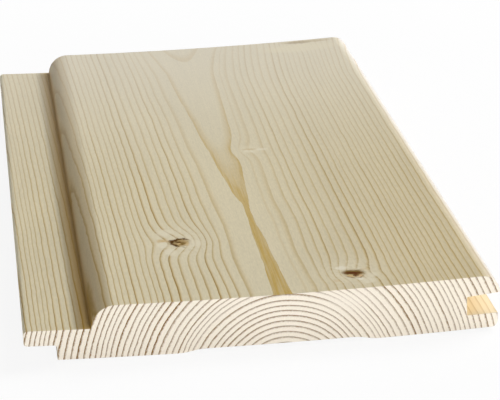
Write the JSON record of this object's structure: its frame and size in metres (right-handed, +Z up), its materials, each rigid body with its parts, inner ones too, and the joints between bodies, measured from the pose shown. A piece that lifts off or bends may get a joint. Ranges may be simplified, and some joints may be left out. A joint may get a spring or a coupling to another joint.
{
  "type": "profiled board",
  "caption": "Planed softwood profile board with a wide tongue, a groove, rounded face edges and a shallow relief along its back, for lining walls and ceilings.",
  "frame": {"origin": "middle of the board's box, on the plane that its back lies on", "axes": "+X across the board from the tongue to the groove, +Y along its length, +Z up through its thickness to the face"},
  "size_m": [0.121, 0.25, 0.014],
  "materials": {
    "planed_softwood": "planed, unfinished, matt"
  },
  "bodies": {
    "root": {"profiled_board": "planed_softwood"}
  },
  "joints": []
}
